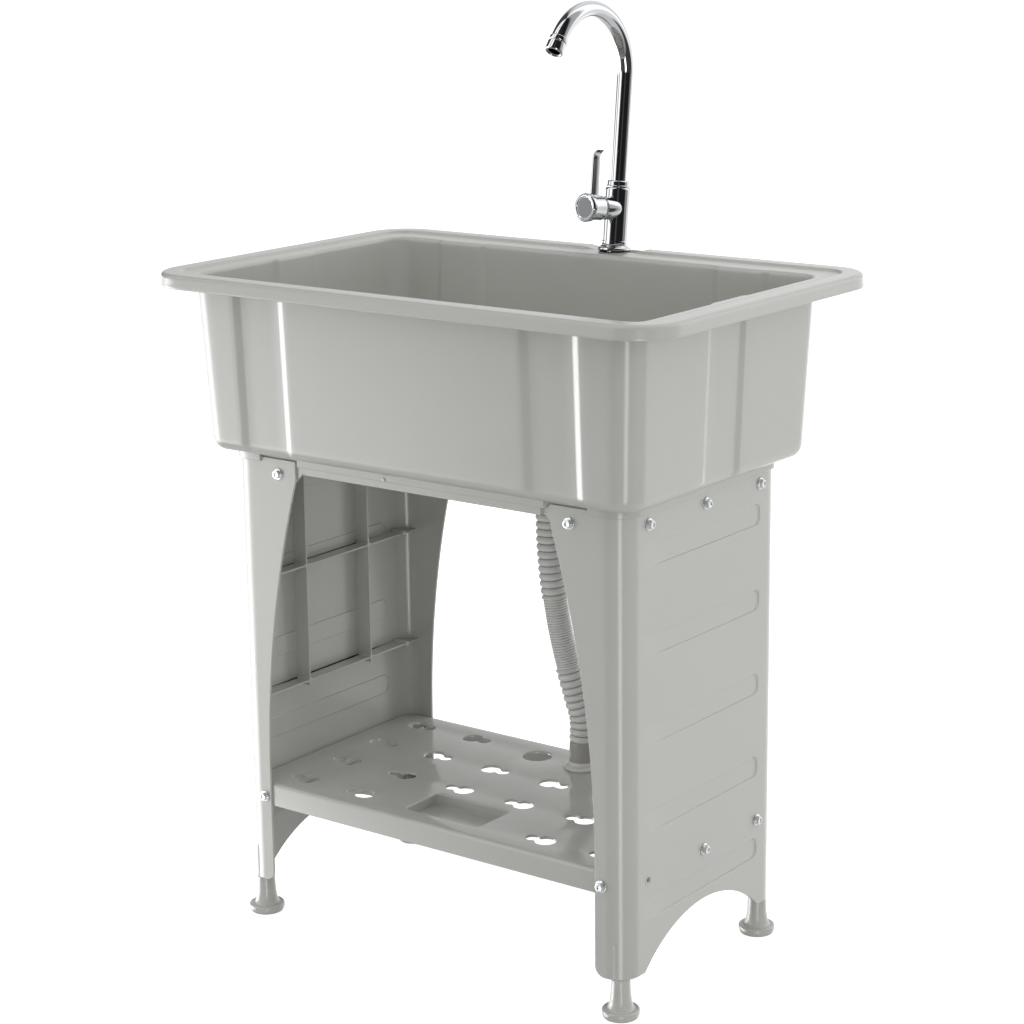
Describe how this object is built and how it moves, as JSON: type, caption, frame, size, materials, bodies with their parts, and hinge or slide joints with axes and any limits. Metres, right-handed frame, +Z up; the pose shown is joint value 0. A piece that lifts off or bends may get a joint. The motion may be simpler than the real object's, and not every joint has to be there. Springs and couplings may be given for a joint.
{
  "type": "utility laundry sink",
  "caption": "Free-standing moulded laundry sink on two arched side panels with a slotted shelf, ribbed drain hose and gooseneck tap.",
  "frame": {"origin": "on the floor, below the middle of the bounding box", "axes": "+Z up, the front with the open bay and the shelf's tray towards -Y, the tap at the back towards +Y"},
  "size_m": [0.704, 0.4764, 1.0789],
  "materials": {
    "grey_plastic": "satin moulded polypropylene, warm light grey",
    "hose_plastic": "satin soft grey hose plastic",
    "chrome": "polished chrome plate",
    "zinc": "bright zinc-plated steel",
    "steel": "pressed stainless steel",
    "brass": "plain turned brass",
    "rubber": "black sealing rubber"
  },
  "bodies": {
    "stand": {"tub": "grey_plastic", "panel_right": "grey_plastic", "panel_left": "grey_plastic", "shelf": "grey_plastic", "bolt_side_left_top_front": "zinc", "bolt_side_left_top_middle": "zinc", "bolt_side_left_top_back": "zinc", "bolt_front_left_top": "zinc", "bolt_back_left_top": "zinc", "bolt_side_left_low_front": "zinc", "bolt_side_left_low_middle": "zinc", "bolt_side_left_low_back": "zinc", "bolt_front_left_low": "zinc", "bolt_back_left_low": "zinc", "bolt_side_right_top_front": "zinc", "bolt_side_right_top_middle": "zinc", "bolt_side_right_top_back": "zinc", "bolt_front_right_top": "zinc", "bolt_back_right_top": "zinc", "bolt_side_right_low_middle": "zinc", "bolt_side_right_low_back": "zinc", "bolt_front_right_low": "zinc", "bolt_back_right_low": "zinc", "waste": "steel", "waste_gasket": "rubber", "waste_nut": "hose_plastic", "hose_collar": "hose_plastic", "hose": "hose_plastic", "hose_cuff": "hose_plastic", "shelf_flange": "hose_plastic", "tap_gasket": "rubber", "tap_base": "chrome", "tap_collar": "chrome", "tap_washer": "rubber", "tap_nut": "brass", "tap_body": "chrome"},
    "spout": {"spout": "chrome", "aerator": "chrome"},
    "handle": {"spindle": "brass", "valve_cap": "chrome", "lever": "chrome"},
    "foot_front_left": {"foot_front_left": "grey_plastic"},
    "foot_front_right": {"foot_front_right": "grey_plastic"},
    "foot_back_left": {"foot_back_left": "grey_plastic"},
    "foot_back_right": {"foot_back_right": "grey_plastic"}
  },
  "joints": [
    {"name": "spout_swivel", "type": "hinge", "parent": "stand", "child": "spout", "pos_m": [0.002, 0.21347, 0.86127], "axis": [0, 0.1149, 0.9934], "continuous": true},
    {"name": "handle_turn", "type": "hinge", "parent": "stand", "child": "handle", "pos_m": [-0.00218, 0.18063, 0.83588], "axis": [-0.1392, -0.9837, 0.1138], "range_deg": [0, 90]},
    {"name": "foot_front_left_level", "type": "slide", "parent": "stand", "child": "foot_front_left", "axis": [0, 0, -1], "range_m": [0, 0.015]},
    {"name": "foot_front_right_level", "type": "slide", "parent": "stand", "child": "foot_front_right", "axis": [0, 0, -1], "range_m": [0, 0.015]},
    {"name": "foot_back_left_level", "type": "slide", "parent": "stand", "child": "foot_back_left", "axis": [0, 0, -1], "range_m": [0, 0.015]},
    {"name": "foot_back_right_level", "type": "slide", "parent": "stand", "child": "foot_back_right", "axis": [0, 0, -1], "range_m": [0, 0.015]}
  ]
}
